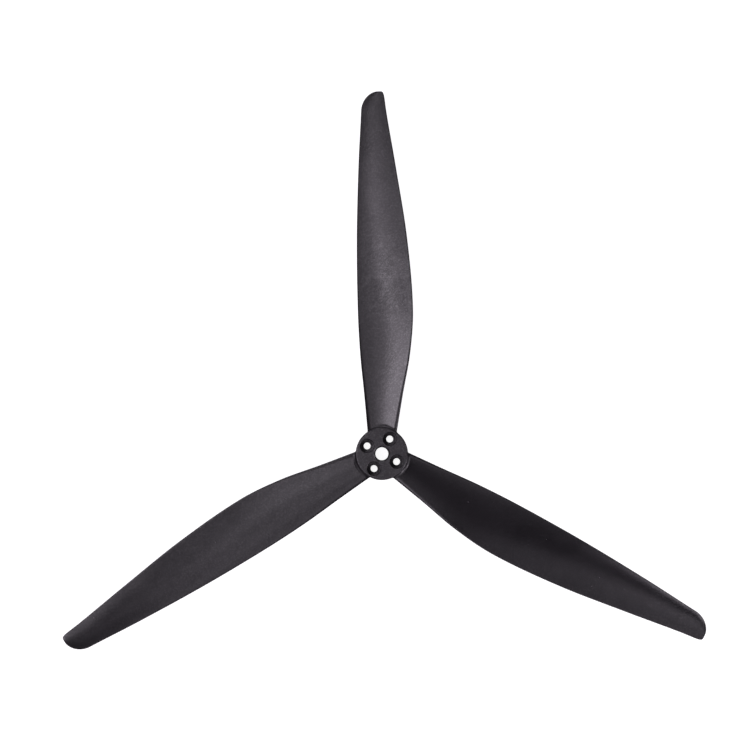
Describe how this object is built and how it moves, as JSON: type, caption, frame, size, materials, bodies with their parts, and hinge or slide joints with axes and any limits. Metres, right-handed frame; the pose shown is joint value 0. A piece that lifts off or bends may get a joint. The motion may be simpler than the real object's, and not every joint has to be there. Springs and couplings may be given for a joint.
{
  "type": "drone propeller",
  "caption": "Three-blade fixed-pitch multirotor propeller in black glass-filled nylon, with a flat round hub, a centre bore and counterbored screw holes.",
  "frame": {"origin": "centre of the hub's underside, on the spin axis", "axes": "+Z along the spin axis, away from the motor; +Y along blade_1; seen from above the propeller turns clockwise"},
  "size_m": [0.2212, 0.1944, 0.0088],
  "materials": {
    "moulded_nylon": "satin black glass-filled nylon with a fine mottled moulding texture"
  },
  "bodies": {
    "root": {"hub": "moulded_nylon", "blade_1": "moulded_nylon", "blade_2": "moulded_nylon", "blade_3": "moulded_nylon"}
  },
  "joints": []
}
